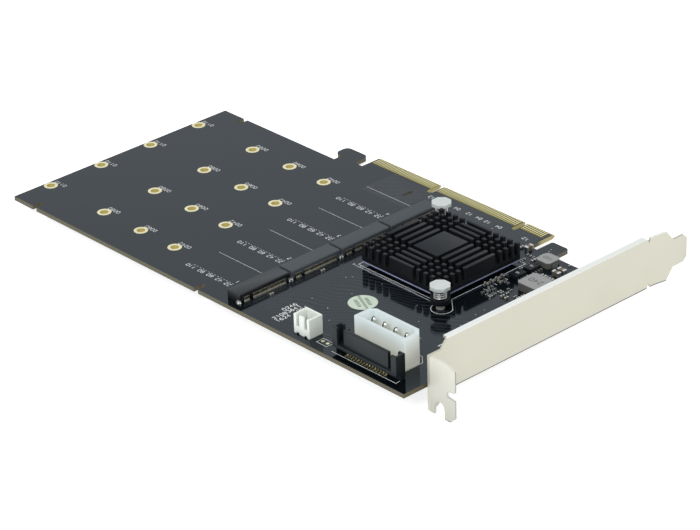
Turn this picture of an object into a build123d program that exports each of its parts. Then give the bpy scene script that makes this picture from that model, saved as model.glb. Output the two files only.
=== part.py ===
from build123d import *
import math
import os

os.makedirs("parts", exist_ok=True)

# A full-height expansion card that carries four solid-state drive modules side by side.
# It has a circuit board with gold edge contacts, four drive sockets, a switch chip under a
# cross-cut heatsink on two sprung push pins, three power headers and a folded steel bracket.
# Millimetres. The origin is the middle of the key notch at the tip of the edge connector, on
# the board's top face. +X points to the bracket, +Y to the edge connector, +Z off the board.

# Circuit board
board_length = 197.8
board_right = 53.9
board_thickness = 1.57
card_height = 111.0
connector_drop = 12.4
notch_width = 2.0
notch_depth = 4.0
notch_from_left = 11.5
inner_notch_x = -45.5
break_slot_length = 4.8
break_slot_width = 1.2

# Edge connector
key_width = 1.9
key_depth = 6.4
short_run_length = 11.65
middle_run_length = 38.9
gap_width = 2.4
long_run_end = -73.0
edge_margin = 0.3
contact_pitch = 1.0
contact_width = 0.7
contact_length = 3.8
contact_to_tip = 1.15
contact_to_key = 0.83
contact_plate = 0.05
bevel_length = 1.1
bevel_height = 0.45
hook_length = 11.1
hook_height = 6.2
hook_gap = 4.0
hook_reach = 2.3
hook_neck = 7.4
lug_gap = 3.5
lug_width = 7.6
lug_reach = 4.7

# Drive bays
drive_datum_x = -31.3
bay_to_near_edge = 3.38
bay_gap = 1.1
drive_count = 4
drive_lengths = (42.0, 60.0, 80.0, 110.0)
drive_hole = 3.0
drive_ring = 5.0
ring_plate = 0.05

# Drive sockets
socket_width = 21.9
socket_front = 2.0
socket_back = 4.2
socket_height = 3.2
socket_mouth_height = 0.95
socket_mouth_z = 1.45
socket_side_wall = 1.0
socket_mouth_depth = 4.4
socket_key_width = 1.0
socket_key_y = -6.12
socket_end_wall = 2.2
socket_contact_pitch = 1.0
socket_contact_width = 0.3
socket_contact_height = 0.35
socket_foot_length = 1.1
socket_recess_height = 1.1
socket_recess_depth = 0.7
tab_width = 0.9
tab_length = 1.6
tab_height = 1.0
tab_sheet = 0.25
tab_to_recess = 0.4

# Heatsink, chip and thermal pad
sink_x = 0.9
sink_y = -42.5
sink_side = 38.0
sink_base = 1.6
sink_fin_height = 4.3
sink_corner = 1.0
rib_first_x = 8.0
rib_step_x = 3.3
rib_first_y = 9.7
rib_step_y = 2.8
ribs_a_side = 4
rib_width_x = 1.5
rib_width_y = 1.3
island_x = 11.4
island_y = 14.5
ear_width = 6.6
pad_thickness = 0.8
pad_side = 37.2
chip_side = 27.0
chip_height = 1.3

# Sprung push pins
push_pin_offset = 21.2
push_pin_head = 6.7
push_pin_head_height = 1.3
push_pin_shank = 2.9
push_pin_clearance = 0.15
push_pin_barb = 4.0
push_pin_tip = 3.0
spring_length = 3.6
spring_outer = 4.9
spring_wire = 0.5
spring_turns = 3

# Fan header
fan_x = 3.6
fan_inset = 5.88
fan_width = 7.4
fan_depth = 5.9
fan_height = 7.0
fan_wall = 0.8
fan_floor = 1.6
fan_pin_pitch = 2.5
fan_pin_side = 0.64
fan_pin_top = 5.6
fan_slot = 1.3
fan_foot_height = 0.6

# Four-pin disk power header
disk_x = 32.2
disk_inset = 14.55
disk_width = 23.2
disk_depth = 8.3
disk_height = 11.2
disk_wall = 1.2
disk_floor = 2.4
disk_chamfer = 1.9
disk_pin_pitch = 5.08
disk_pin_diameter = 2.1
disk_pin_top = 8.4
disk_pin_offset = 0.75
tail_diameter = 1.4
tail_reach = 1.4
tail_clearance = 0.1

# Serial power header
serial_x = 32.65
serial_inset = 3.03
serial_width = 29.5
serial_top = 9.2
serial_standoff = 2.0
serial_sill = 3.2
serial_depth = 4.1
serial_wall = 0.9
serial_tower = 2.4
serial_foot_setback = 1.7
blade_length = 20.5
blade_thickness = 1.23
blade_setback = 0.9
blade_key = 2.4
blade_key_width = 0.8
serial_contacts = 15
serial_contact_pitch = 1.27
serial_contact_width = 0.6
serial_contact_sheet = 0.2
serial_tail_reach = 1.1
serial_contact_offset = -0.2
blade_contact_width = 0.6

# Power parts
large_coil_side = 8.9
large_coil_height = 3.0
large_coil_x = 35.4
large_coil_y = -32.9
small_coil_side = 6.3
small_coil_height = 2.3
small_coil_x = 26.4
small_coil_y = -17.4
coil_chamfer = 0.9
coil_terminal = 0.15
coil_terminal_width = 2.4
coil_terminal_height = 1.4
regulator_length = 4.9
regulator_width = 3.9
regulator_height = 1.5
regulator_lift = 0.1
regulator_draft = 0.2
regulator_spots = ((25.2, -30.7), (25.2, -24.0))
regulator_lead_pitch = 1.27
regulator_lead_width = 0.42
regulator_lead_reach = 1.0
regulator_lead_height = 0.6

# Small parts. A row is its first place, the step to the next, how many, and whether each lies along Y
capacitor_size = (1.6, 0.8, 0.8)
large_capacitor_size = (3.2, 1.6, 1.6)
resistor_size = (1.0, 0.5, 0.35)
bay_capacitor_gap = 3.0
bay_capacitor_shift = 0.25
capacitor_rows = (
    ((21.6, -41.9), (0, 2.6), 4, False), ((12.0, -15.2), (0, 0), 1, True), ((31.6, -44.5), (1.8, 0), 2, True))
large_capacitor_rows = (((14.4, -14.2), (0, 0), 1, True), ((33.9, -21.2), (0, 2.6), 2, False))
resistor_rows = (
    ((21.6, -43.2), (0, 2.6), 5, False), ((24.0, -36.4), (1.2, 0), 3, True),
    ((17.0, -17.4), (1.3, 0), 4, True), ((18.3, -20.4), (0, -1.2), 3, False),
    ((29.2, -39.4), (1.4, 0), 2, True))

# Sticker and unused pads
sticker_x = 1.4
sticker_inset = 32.0
sticker_diameter = 10.0
sticker_thickness = 0.1
spare_pad_x = 11.0
spare_pad_inset = 5.3
spare_pad_pitch = 2.3
spare_pad_diameter = 1.2

# Bracket
bracket_face = 55.74
bracket_sheet = 0.9
bracket_width = 18.42
bracket_bottom = -4.75
bracket_length = 120.02
tab_face_y = -102.06
tab_depth = 11.43
tab_top = 11.1
tab_bottom = -9.35
shoulder_setback = 6.0
flange_depth = 2.5
flange_setback = 9.2
tongue_width = 10.19
tongue_shoulder = 6.8
tongue_taper = 3.4
tongue_offset = 0.9
tongue_ramp = 5.0
tongue_corner = 1.7
screw_slot_width = 4.5
screw_slot_depth = 5.6
side_notch_width = 1.9
side_notch_mouth = 2.9
side_notch_depth = 3.4
side_notch_z = 0.3
edge_nick_width = 1.9
edge_nick_depth = 1.4
edge_nick_to_bend = 2.6
ear_length = 8.0
bracket_ear_width = 7.0
bracket_ear_spots = (-85.0, -25.0)
screw_diameter = 3.0
screw_head = 5.6
screw_head_height = 1.7
screw_clearance = 0.1
screw_reach = 1.2

# Places that follow from the sizes above
board_left = board_right - board_length
board_near = -card_height
board_far = -connector_drop
board_bottom = -board_thickness
drive_pitch = socket_width + bay_gap
first_drive_y = board_near + bay_to_near_edge + socket_width / 2
drive_rows = [first_drive_y + drive_pitch * row for row in range(drive_count)]
longest_drive = drive_datum_x - drive_ring / 2 - board_left
drive_hole_columns = [drive_datum_x - length for length in drive_lengths if length < longest_drive]
socket_mouth_width = socket_width - 2 * socket_side_wall
socket_contact_count = int((socket_width - 2 * socket_end_wall) / socket_contact_pitch) + 1
pad_bottom = chip_height
sink_bottom = pad_bottom + pad_thickness
sink_base_top = sink_bottom + sink_base
sink_top = sink_base_top + sink_fin_height
push_pins = {
    "front": (sink_x + push_pin_offset, sink_y - push_pin_offset),
    "rear": (sink_x - push_pin_offset, sink_y + push_pin_offset),
}
fan_y = board_near + fan_inset
disk_y = board_near + disk_inset
serial_front = board_near + serial_inset
sticker_y = board_near + sticker_inset
spare_pad_y = board_near + spare_pad_inset
disk_pins = [disk_x + disk_pin_pitch * (index - 1.5) for index in range(4)]
disk_pin_y = disk_y + disk_pin_offset
fan_pins = [fan_x - fan_pin_pitch / 2, fan_x + fan_pin_pitch / 2]
bracket_top = bracket_bottom + bracket_width
bracket_inner = bracket_face - bracket_sheet
bracket_screw_x = bracket_face - flange_depth - ear_length / 2

# Sides that small rounds are drawn with, so that hundreds of them stay light
round_sides = 10
ring_sides = 12
sticker_sides = 32


def block(x0, x1, y0, y1, z0, z1):
    """Box between two corners."""
    size = (x1 - x0, y1 - y0, z1 - z0)
    return Pos((x0 + x1) / 2, (y0 + y1) / 2, (z0 + z1) / 2) * Box(*size)


def area(x0, x1, y0, y1):
    """Flat rectangle between two corners."""
    return Pos((x0 + x1) / 2, (y0 + y1) / 2) * Rectangle(x1 - x0, y1 - y0)


def along_x(points, x0, x1):
    """Profile of (y, z) points carried from x0 to x1."""
    face = Plane.YZ * Polygon(*points, align=None)
    return Pos(x0, 0, 0) * extrude(face, x1 - x0, dir=(1, 0, 0))


def along_y(points, y0, y1):
    """Profile of (x, z) points carried from y0 to y1."""
    face = Plane.XZ * Polygon(*points, align=None)
    return Pos(0, y0, 0) * extrude(face, y1 - y0, dir=(0, 1, 0))


def disc(diameter, sides=round_sides):
    """Small flat round drawn with few sides, that lie half inside and half outside the circle."""
    radius = diameter / 2 / math.sqrt(math.cos(math.pi / sides))
    return RegularPolygon(radius, sides, rotation=180 / sides)


def eased(x_size, y_size):
    """Long flat shape with eased ends, for a rib or a routed slot."""
    face = Rectangle(x_size, y_size)
    return chamfer(face.vertices(), min(x_size, y_size) * 0.3)


def peg(profile, x, y, sides=round_sides):
    """Upright round part through (radius, z) pairs, lowest first; two pairs at one z make a step."""
    body = None
    for (r0, z0), (r1, z1) in zip(profile, profile[1:]):
        if z1 == z0:
            continue
        inward = (r0 - r1) * math.sqrt(math.cos(math.pi / sides))
        slope = math.degrees(math.atan2(inward, z1 - z0))
        part = Pos(x, y, z0) * extrude(disc(2 * r0, sides), z1 - z0, taper=slope)
        body = part if body is None else body + part
    return body


def connector_outline():
    """Edge connector: three runs of contacts, the hook beside them and the lug by the bracket."""
    runs = area(long_run_end, key_width / 2 + short_run_length + edge_margin, board_far, 0)
    key = area(-key_width / 2, key_width / 2, -key_depth, 0)
    key += Pos(0, -key_depth) * disc(key_width)
    gap_right = -key_width / 2 - middle_run_length
    gap = area(gap_right - gap_width, gap_right, -key_depth, 0)
    gap += Pos(gap_right - gap_width / 2, -key_depth) * disc(gap_width)
    hook_right = long_run_end - hook_gap
    hook_y = -hook_reach - hook_height / 2
    head = Pos(hook_right - hook_length / 2, hook_y) * RectangleRounded(hook_length, hook_height, 2.2)
    neck = area(hook_right - hook_neck, hook_right, board_far, hook_y)
    step = area(hook_right - hook_neck, long_run_end, board_far, board_far + hook_gap - 1.0)
    lug_left = key_width / 2 + short_run_length + edge_margin + lug_gap
    lug_height = connector_drop - lug_reach
    lug_y = board_far + lug_height / 2 - 1.0
    lug = Pos(lug_left + lug_width / 2, lug_y) * RectangleRounded(lug_width, lug_height + 2.0, 1.0)
    return runs - key - gap + head + neck + step + lug


def board_outline():
    """Board seen from above, with its break-off notches and the slot on the inner break line."""
    outline = area(board_left, board_right, board_near, board_far) + connector_outline()
    left_notch_x = board_left + notch_from_left
    spots = ((left_notch_x, board_near), (inner_notch_x, board_near), (left_notch_x, board_far))
    for x, edge in spots:
        outline -= Pos(x, edge) * eased(notch_width, 2 * notch_depth)
    slot_y = board_far - break_slot_width / 2
    return outline - Pos(inner_notch_x, slot_y) * eased(break_slot_width, break_slot_length)


def board_holes():
    """Through holes other than the drive holes, as (x, y, diameter)."""
    holes = [(x, y, push_pin_shank + 2 * push_pin_clearance) for x, y in push_pins.values()]
    holes += [(x, disk_pin_y, tail_diameter + 2 * tail_clearance) for x in disk_pins]
    holes += [(x, fan_y, fan_pin_side * math.sqrt(2) + 2 * tail_clearance) for x in fan_pins]
    holes += [(bracket_screw_x, y, screw_diameter + 2 * screw_clearance) for y in bracket_ear_spots]
    return holes


def circuit_board():
    """Board with all its holes and the bevel along the connector's tip."""
    outline = board_outline()
    for x, y, diameter in board_holes():
        outline -= Pos(x, y) * disc(diameter)
    for y in drive_rows:
        for x in drive_hole_columns:
            outline -= Pos(x, y) * disc(drive_ring, ring_sides)
    board = extrude(outline, -board_thickness)
    x0 = long_run_end - 1.0
    x1 = key_width / 2 + short_run_length + 1.0
    upper = ((1.0, 1.0), (-bevel_length, 1.0), (-bevel_length, 0), (0, -bevel_height), (1.0, -bevel_height))
    lower = [(y, board_bottom - z) for y, z in upper]
    return board - along_x(upper, x0, x1) - along_x(lower, x0, x1)


def contact_places():
    """Middles of the edge contacts, counted both ways from the key notch."""
    first = key_width / 2 + contact_to_key
    last = first + short_run_length - 2 * contact_to_key
    places = [first + contact_pitch * i for i in range(int((last - first) / contact_pitch + 1.001))]
    gap_right = -key_width / 2 - middle_run_length
    gap_left = gap_right - gap_width
    margin = contact_width / 2 + 0.1
    count = int((-long_run_end - first) / contact_pitch)
    for index in range(count):
        x = -first - contact_pitch * index
        if x - margin > gap_right or x + margin < gap_left:
            places.append(x)
    return places


def edge_contacts(z0, z1):
    """Gold fingers on one face of the board."""
    y0 = -contact_to_tip - contact_length
    half = contact_width / 2
    return [block(x - half, x + half, y0, -contact_to_tip, z0, z1) for x in contact_places()]


def drive_hole_ring(x, y):
    """Plated land round the screw hole of one drive length, a little proud of both faces."""
    land = disc(drive_ring, ring_sides) - Circle(drive_hole / 2)
    return Pos(x, y, board_bottom - ring_plate) * extrude(land, board_thickness + 2 * ring_plate)


def drive_socket(y):
    """Housing with a card mouth on its -X side, a key rib in it and a recess over the feet."""
    x0 = drive_datum_x - socket_front
    x1 = drive_datum_x + socket_back
    bevel = 0.35
    top = socket_height
    profile = ((x0, 0), (x1, 0), (x1, top - bevel), (x1 - bevel, top), (x0, top))
    half = socket_width / 2
    housing = along_y(profile, y - half, y + half)
    mouth_top = socket_mouth_z + socket_mouth_height
    mouth_half = socket_mouth_width / 2
    key_low = y + socket_key_y - socket_key_width / 2
    key_high = key_low + socket_key_width
    mouth_x = x0 + socket_mouth_depth
    housing -= block(x0 - 1, mouth_x, y - mouth_half, key_low, socket_mouth_z, mouth_top)
    housing -= block(x0 - 1, mouth_x, key_high, y + mouth_half, socket_mouth_z, mouth_top)
    recess_half = half - tab_width - tab_to_recess
    recess_x = x1 - socket_recess_depth
    housing -= block(recess_x, x1 + 1, y - recess_half, y + recess_half, -1, socket_recess_height)
    for side in (-1, 1):
        edge = y + side * half
        housing -= block(x1 - tab_length, x1 + 1, *sorted((edge, edge - side * tab_sheet)), -1, tab_height)
    return housing


def socket_feet(y):
    """Row of solder feet along the back of a socket."""
    x0 = drive_datum_x + socket_back - socket_recess_depth
    span = socket_contact_pitch * (socket_contact_count - 1)
    half = socket_contact_width / 2
    feet = []
    for index in range(socket_contact_count):
        at = y - span / 2 + socket_contact_pitch * index
        feet.append(block(x0, x0 + socket_foot_length, at - half, at + half, 0, socket_contact_height))
    return feet


def socket_tabs(y):
    """Two folded hold-down tabs at a socket's back corners."""
    x1 = drive_datum_x + socket_back
    tabs = []
    for side in (-1, 1):
        inner = y + side * (socket_width / 2 - tab_sheet)
        outer = y + side * (socket_width / 2)
        foot = y + side * (socket_width / 2 + 0.5)
        wall = block(x1 - tab_length, x1, *sorted((inner, outer)), 0, tab_height)
        wall += block(x1 - tab_length, x1 + 0.4, *sorted((outer, foot)), 0, tab_sheet)
        tabs.append(wall)
    return tabs


def heatsink():
    """Base with two diagonal ears, a flat island, ribs beside it and pins in the corners."""
    base = RectangleRounded(sink_side, sink_side, sink_corner)
    ear = SlotOverall(2 * math.sqrt(2) * push_pin_offset + ear_width, ear_width, rotation=-45)
    base += ear
    for sign in (-1, 1):
        hole = push_pin_shank + 2 * push_pin_clearance
        base -= Pos(sign * push_pin_offset, -sign * push_pin_offset) * disc(hole)
    body = extrude(base, sink_base)
    fins = Rectangle(island_x, island_y)
    columns = [rib_first_x + rib_step_x * i for i in range(ribs_a_side)]
    rows = [rib_first_y + rib_step_y * i for i in range(ribs_a_side)]
    for side in (-1, 1):
        for x in columns:
            fins += Pos(side * x, 0) * eased(rib_width_x, island_y)
        for y in rows:
            fins += Pos(0, side * y) * eased(island_x, rib_width_y)
        for x in columns:
            for y in rows:
                fins += Pos(side * x, y) * Rectangle(rib_width_x, rib_width_y)
                fins += Pos(side * x, -y) * Rectangle(rib_width_x, rib_width_y)
    body += Pos(0, 0, sink_base) * extrude(fins, sink_fin_height)
    return Pos(sink_x, sink_y, sink_bottom) * body


def push_pin(x, y):
    """Nylon pin: eight-sided head, plain shank and a split barb under the board."""
    head_low = sink_base_top + spring_length
    shank = push_pin_shank / 2
    barb = push_pin_barb / 2
    low = board_bottom
    tip = low - push_pin_tip
    profile = ((shank * 0.6, tip), (barb, low - 0.9), (barb, low - 0.5), (shank, low - 0.2))
    body = peg(profile + ((shank, head_low),), x, y)
    head = RegularPolygon(push_pin_head / 2, 8, major_radius=False, rotation=22.5)
    body += Pos(x, y, head_low) * extrude(head, push_pin_head_height)
    split = block(x - 0.35, x + 0.35, y - 3, y + 3, tip - 1, low - 0.1)
    return body - split


def pin_spring(x, y):
    """Coil spring round a push pin, drawn as close turns on a thin sleeve."""
    outer = spring_outer / 2
    inner = outer - spring_wire
    valley = outer - spring_wire / 2
    step = spring_length / spring_turns
    profile = [(valley, sink_base_top)]
    for turn in range(spring_turns):
        z = sink_base_top + step * turn
        profile += [(outer, z + step * 0.3), (outer, z + step * 0.7), (valley, z + step)]
    bore = Pos(x, y, sink_base_top) * extrude(disc(2 * inner), spring_length)
    return peg(profile, x, y) - bore


def fan_housing():
    """Small open box on a floor, with two slots in its front wall and feet notches."""
    x0 = fan_x - fan_width / 2
    x1 = fan_x + fan_width / 2
    y0 = fan_y - fan_depth / 2
    y1 = fan_y + fan_depth / 2
    housing = block(x0, x1, y0, y1, 0, fan_height)
    housing -= block(x0 + fan_wall, x1 - fan_wall, y0 + fan_wall, y1 - fan_wall, fan_floor, fan_height + 1)
    for side in (-1, 1):
        left = fan_x + side * fan_width / 4 - fan_slot / 2
        right = left + fan_slot
        housing -= block(left, right, y0 - 1, y0 + fan_wall, fan_floor + 1, fan_height + 1)
        housing -= block(left, right, y0 - 1, y0 + fan_wall, -1, fan_foot_height)
    for x in fan_pins:
        hole = fan_pin_side
        housing -= block(x - hole / 2, x + hole / 2, fan_y - hole / 2, fan_y + hole / 2, -1, fan_floor + 1)
    return housing


def fan_pin(x):
    """Square post that runs from the housing through the board."""
    half = fan_pin_side / 2
    return block(x - half, x + half, fan_y - half, fan_y + half, board_bottom - tail_reach, fan_pin_top)


def disk_outline(inset):
    """Outline of the disk power housing, with its two keyed corners, drawn in by a wall."""
    x0 = disk_x - disk_width / 2 + inset
    x1 = disk_x + disk_width / 2 - inset
    y0 = disk_y - disk_depth / 2 + inset
    y1 = disk_y + disk_depth / 2 - inset
    cut = disk_chamfer - inset * 0.4
    points = ((x0, y0), (x1, y0), (x1, y1 - cut), (x1 - cut, y1), (x0 + cut, y1), (x0, y1 - cut))
    return Polygon(*points, align=None)


def disk_housing():
    """Deep keyed shroud of the four-pin power header."""
    housing = extrude(disk_outline(0), disk_height)
    housing -= Pos(0, 0, disk_floor) * extrude(disk_outline(disk_wall), disk_height)
    for x in disk_pins:
        housing -= Pos(x, disk_pin_y, 0) * extrude(disc(disk_pin_diameter), disk_floor)
    return housing


def disk_pin(x):
    """Round contact with a thinner tail through the board and a tapered nose."""
    radius = disk_pin_diameter / 2
    tail = tail_diameter / 2
    low = board_bottom - tail_reach
    profile = ((tail, low), (tail, 0), (radius, 0), (radius, disk_pin_top - 0.9))
    return peg(profile + ((radius * 0.45, disk_pin_top),), x, disk_pin_y)


def serial_housing():
    """Raised sill between two channel towers, with the keyed blade standing in the middle."""
    x0 = serial_x - serial_width / 2
    x1 = serial_x + serial_width / 2
    y0 = serial_front
    y1 = serial_front + serial_depth
    housing = block(x0, x1, y0, y1, serial_standoff, serial_sill)
    housing += block(x0, x1, y0 + serial_foot_setback, y1, 0, serial_standoff)
    for side, edge in ((1, x0), (-1, x1)):
        inner = edge + side * serial_tower
        tower = block(*sorted((edge, inner)), y0, y1, serial_sill, serial_top)
        channel = sorted((edge + side * serial_wall, inner + side))
        tower -= block(*channel, y0 + serial_wall, y1 - serial_wall, serial_sill, serial_top + 1)
        housing += tower
    blade_x0 = serial_x - blade_length / 2
    blade_x1 = serial_x + blade_length / 2
    blade_y = y0 + blade_setback
    top = serial_top - 0.2
    blade = block(blade_x0, blade_x1, blade_y, blade_y + blade_thickness, serial_sill, top)
    blade += block(blade_x0, blade_x0 + blade_key_width, blade_y, blade_y + blade_key, serial_sill, top)
    return housing + blade


def serial_contact(index):
    """Tail that steps down from under the sill to the board, and the strip on the blade's back."""
    span = serial_contact_pitch * (serial_contacts - 1)
    x = serial_x + serial_contact_offset - span / 2 + serial_contact_pitch * index
    sheet = serial_contact_sheet
    back = serial_front + serial_foot_setback
    front = back - serial_tail_reach
    points = ((front, 0), (back, 0), (back, serial_standoff), (back - sheet, serial_standoff))
    points += ((back - sheet, sheet), (front, sheet))
    half = serial_contact_width / 2
    tail = along_x(points, x - half, x + half)
    wide = blade_contact_width / 2
    blade_back = serial_front + blade_setback + blade_thickness
    strip = block(x - wide, x + wide, blade_back, blade_back + sheet, serial_sill, serial_top - 0.9)
    return [tail, strip]


def coil(x, y, side, height):
    """Moulded power inductor with clipped upright corners."""
    face = Rectangle(side, side)
    face = chamfer(face.vertices(), coil_chamfer)
    return Pos(x, y, 0) * extrude(face, height)


def coil_terminals(x, y, side):
    """Two folded end plates, at the -X and +X ends of an inductor."""
    half = coil_terminal_width / 2
    plates = []
    for sign in (-1, 1):
        near = x + sign * side / 2
        far = near + sign * coil_terminal
        plates.append(block(*sorted((near, far)), y - half, y + half, 0, coil_terminal_height))
    return plates


def regulator(x, y):
    """Small power chip with sloped sides."""
    half = regulator_width / 2
    drawn_in = half - regulator_draft
    waist = regulator_lift + regulator_height * 0.45
    points = ((drawn_in, regulator_lift), (half, waist), (drawn_in, regulator_height))
    points += tuple((-a, b) for a, b in reversed(points))
    outline = [(x + a, b) for a, b in points]
    return along_y(outline, y - regulator_length / 2, y + regulator_length / 2)


def regulator_leads(x, y):
    """Eight flat leads, four on each long side."""
    leads = []
    for side in (-1, 1):
        root = x + side * regulator_width / 2
        toe = root + side * regulator_lead_reach
        for index in range(4):
            at = y + regulator_lead_pitch * (index - 1.5)
            half = regulator_lead_width / 2
            leads.append(block(*sorted((root, toe)), at - half, at + half, 0, regulator_lead_height))
    return leads


def chip_part(x, y, size, turned_part):
    """Small surface-mounted part that lies along X, or turned along Y."""
    length, width, height = size
    return Pos(x, y, height / 2) * Rot(0, 0, 90 if turned_part else 0) * Box(length, width, height)


def row_places(rows, size):
    """Places of the parts in some rows, as (x, y, size, along Y)."""
    places = []
    for (x, y), (step_x, step_y), count, turned_part in rows:
        places += [(x + step_x * i, y + step_y * i, size, turned_part) for i in range(count)]
    return places


def capacitor_places():
    """Ceramic capacitors: one behind each socket, and those of the power supply."""
    behind_x = drive_datum_x + socket_back + bay_capacitor_gap
    places = [(behind_x, y + bay_capacitor_shift, capacitor_size, True) for y in drive_rows]
    places += row_places(capacitor_rows, capacitor_size)
    return places + row_places(large_capacitor_rows, large_capacitor_size)


def sticker():
    """Round paper label, left blank."""
    return Pos(sticker_x, sticker_y, 0) * extrude(disc(sticker_diameter, sticker_sides), sticker_thickness)


def spare_pads():
    """Two bare pads beside the fan header."""
    pad = extrude(disc(spare_pad_diameter), ring_plate)
    return [Pos(spare_pad_x + spare_pad_pitch * column, spare_pad_y) * pad for column in range(2)]


def plate_outline():
    """Bracket plate seen from the side as (y, z), from the fold to the tip of the tongue."""
    tip = tab_face_y + bracket_length
    middle = bracket_bottom + bracket_width / 2
    half = tongue_width / 2
    shoulder = tip - tongue_shoulder - tongue_taper
    upper_start = tab_face_y + shoulder_setback
    points = [(tab_face_y, tab_top - 0.5), (upper_start, tab_top - 0.5), (upper_start + 2.7, bracket_top)]
    points += [(shoulder, bracket_top), (shoulder + tongue_taper, middle + half)]
    points += [(tip - tongue_corner, middle + half), (tip, middle + half - tongue_corner)]
    points += [(tip, middle - half + tongue_corner), (tip - tongue_corner, middle - half)]
    points += [(shoulder + tongue_taper, middle - half), (shoulder, bracket_bottom)]
    points += [(upper_start + 2.0, bracket_bottom), (upper_start - 2.0, tab_bottom + 0.5)]
    points += [(tab_face_y, tab_bottom + 0.5)]
    return points


def tab_outline():
    """Screw tab seen along Y as (x, z), with its screw slot and the side notch."""
    far = bracket_face + tab_depth
    slot_x = bracket_face + 4.75
    half = screw_slot_width / 2
    tab = Polygon(
        (bracket_inner, tab_top - 0.5), (bracket_face + 5.7, tab_top), (far - 2.0, tab_top - 0.8),
        (far, tab_top - 2.2), (far, tab_bottom + 1.7), (far - 1.9, tab_bottom),
        (bracket_inner, tab_bottom + 0.5), align=None)
    tab -= area(slot_x - half, slot_x + half, tab_bottom - 1, tab_bottom + screw_slot_depth - half)
    tab -= Pos(slot_x, tab_bottom + screw_slot_depth - half) * Circle(half)
    deep = far - side_notch_depth
    inner_half = side_notch_width / 2
    mouth_half = side_notch_mouth / 2
    side_notch = Polygon(
        (deep, -inner_half), (far, -mouth_half), (far + 1, -mouth_half),
        (far + 1, mouth_half), (far, mouth_half), (deep, inner_half), align=None)
    return tab - Pos(0, side_notch_z) * side_notch


def bracket():
    """One folded sheet: plate, screw tab, stiffening flanges, two board ears and the offset tongue."""
    tip = tab_face_y + bracket_length
    bend = tip - tongue_shoulder - tongue_taper - tongue_ramp
    ramp_end = bend + tongue_ramp
    face = bracket_face
    inner = bracket_inner
    out = tongue_offset
    strip = Polygon(
        (inner, tab_face_y), (face, tab_face_y), (face, bend), (face + out, ramp_end), (face + out, tip),
        (inner + out, tip), (inner + out, ramp_end), (inner, bend), align=None)
    sheet = Pos(0, 0, tab_bottom - 5) * extrude(strip, 60)
    plate = sheet & along_x(plate_outline(), inner - 5, face + 5)
    notch_y = bend - edge_nick_to_bend
    for z, inward in ((bracket_top, -1), (bracket_bottom, 1)):
        outer_z = z - inward
        inner_z = z + inward * edge_nick_depth
        wide = edge_nick_width / 2
        nick = ((notch_y - wide, outer_z), (notch_y + wide, outer_z), (notch_y + wide, z))
        nick += ((notch_y + 0.25, inner_z), (notch_y - 0.25, inner_z), (notch_y - wide, z))
        plate -= along_x(nick, inner - 1, face + 1)
    tab_face = Plane.XZ * tab_outline()
    tab = Pos(0, tab_face_y, 0) * extrude(tab_face, bracket_sheet, dir=(0, 1, 0))
    flange_start = tab_face_y + flange_setback
    flange_end = notch_y - edge_nick_width / 2
    for z0 in (bracket_bottom, bracket_top - bracket_sheet):
        plate += block(face - flange_depth, inner, flange_start, flange_end, z0, z0 + bracket_sheet)
    return fillet_folds(plate + tab + board_ears())


def board_ears():
    """Two stepped ears that reach from the lower flange to the underside of the board."""
    x1 = bracket_face - flange_depth + bracket_sheet
    x0 = x1 - bracket_sheet - ear_length
    low = bracket_bottom
    sheet = bracket_sheet
    points = ((x1, low), (x1, board_bottom), (x0, board_bottom), (x0, board_bottom - sheet))
    points += ((x1 - sheet, board_bottom - sheet), (x1 - sheet, low))
    ears = None
    for y in bracket_ear_spots:
        half = bracket_ear_width / 2
        ear = along_y(points, y - half, y + half)
        hole = extrude(disc(screw_diameter + 2 * screw_clearance), board_bottom - low)
        ear -= Pos(bracket_screw_x, y, low) * hole
        ears = ear if ears is None else ears + ear
    return ears


def fillet_folds(sheet):
    """Round the outer edge of the fold between the plate and the screw tab."""
    folds = [edge for edge in sheet.edges().filter_by(Axis.Z)
             if abs(edge.center().X - bracket_inner) < 0.01 and abs(edge.center().Y - tab_face_y) < 0.01]
    return fillet(folds, bracket_sheet * 0.9)


def bracket_screw(y):
    """Pan-head screw that clamps the board on an ear."""
    radius = screw_diameter / 2
    head = screw_head / 2
    low = board_bottom - bracket_sheet - screw_reach
    profile = ((radius, low), (radius, 0), (head, 0), (head, screw_head_height * 0.55))
    screw = peg(profile + ((head * 0.6, screw_head_height),), bracket_screw_x, y)
    for turn in (0, 90):
        cross = Box(screw_head * 0.55, 0.8, 1.2)
        screw -= Pos(bracket_screw_x, y, screw_head_height) * Rot(0, 0, turn) * cross
    return screw


def save(name, shape):
    """Write one node; a list becomes a group of separate solids."""
    if isinstance(shape, list):
        shape = Compound(children=shape)
    export_step(shape, f"parts/{name}.step")


save("circuit_board", circuit_board())
save("edge_contacts_top", edge_contacts(0, contact_plate))
save("edge_contacts_bottom", edge_contacts(board_bottom - contact_plate, board_bottom))
save("drive_hole_rings", [drive_hole_ring(x, y) for y in drive_rows for x in drive_hole_columns])
for number, row_y in enumerate(drive_rows, start=1):
    save(f"drive_socket_{number}", drive_socket(row_y))
    save(f"drive_socket_feet_{number}", socket_feet(row_y))
save("socket_hold_downs", [tab for row_y in drive_rows for tab in socket_tabs(row_y)])
save("switch_chip", Pos(sink_x, sink_y, chip_height / 2) * Box(chip_side, chip_side, chip_height))
pad_middle = pad_bottom + pad_thickness / 2
save("thermal_pad", Pos(sink_x, sink_y, pad_middle) * Box(pad_side, pad_side, pad_thickness))
save("heatsink", heatsink())
for place, (pin_x, pin_y) in push_pins.items():
    save(f"push_pin_{place}", push_pin(pin_x, pin_y))
    save(f"pin_spring_{place}", pin_spring(pin_x, pin_y))
save("fan_header_housing", fan_housing())
save("fan_header_pins", [fan_pin(x) for x in fan_pins])
save("disk_power_housing", disk_housing())
save("disk_power_pins", [disk_pin(x) for x in disk_pins])
save("serial_power_housing", serial_housing())
save("serial_power_contacts", [piece for n in range(serial_contacts) for piece in serial_contact(n)])
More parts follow.
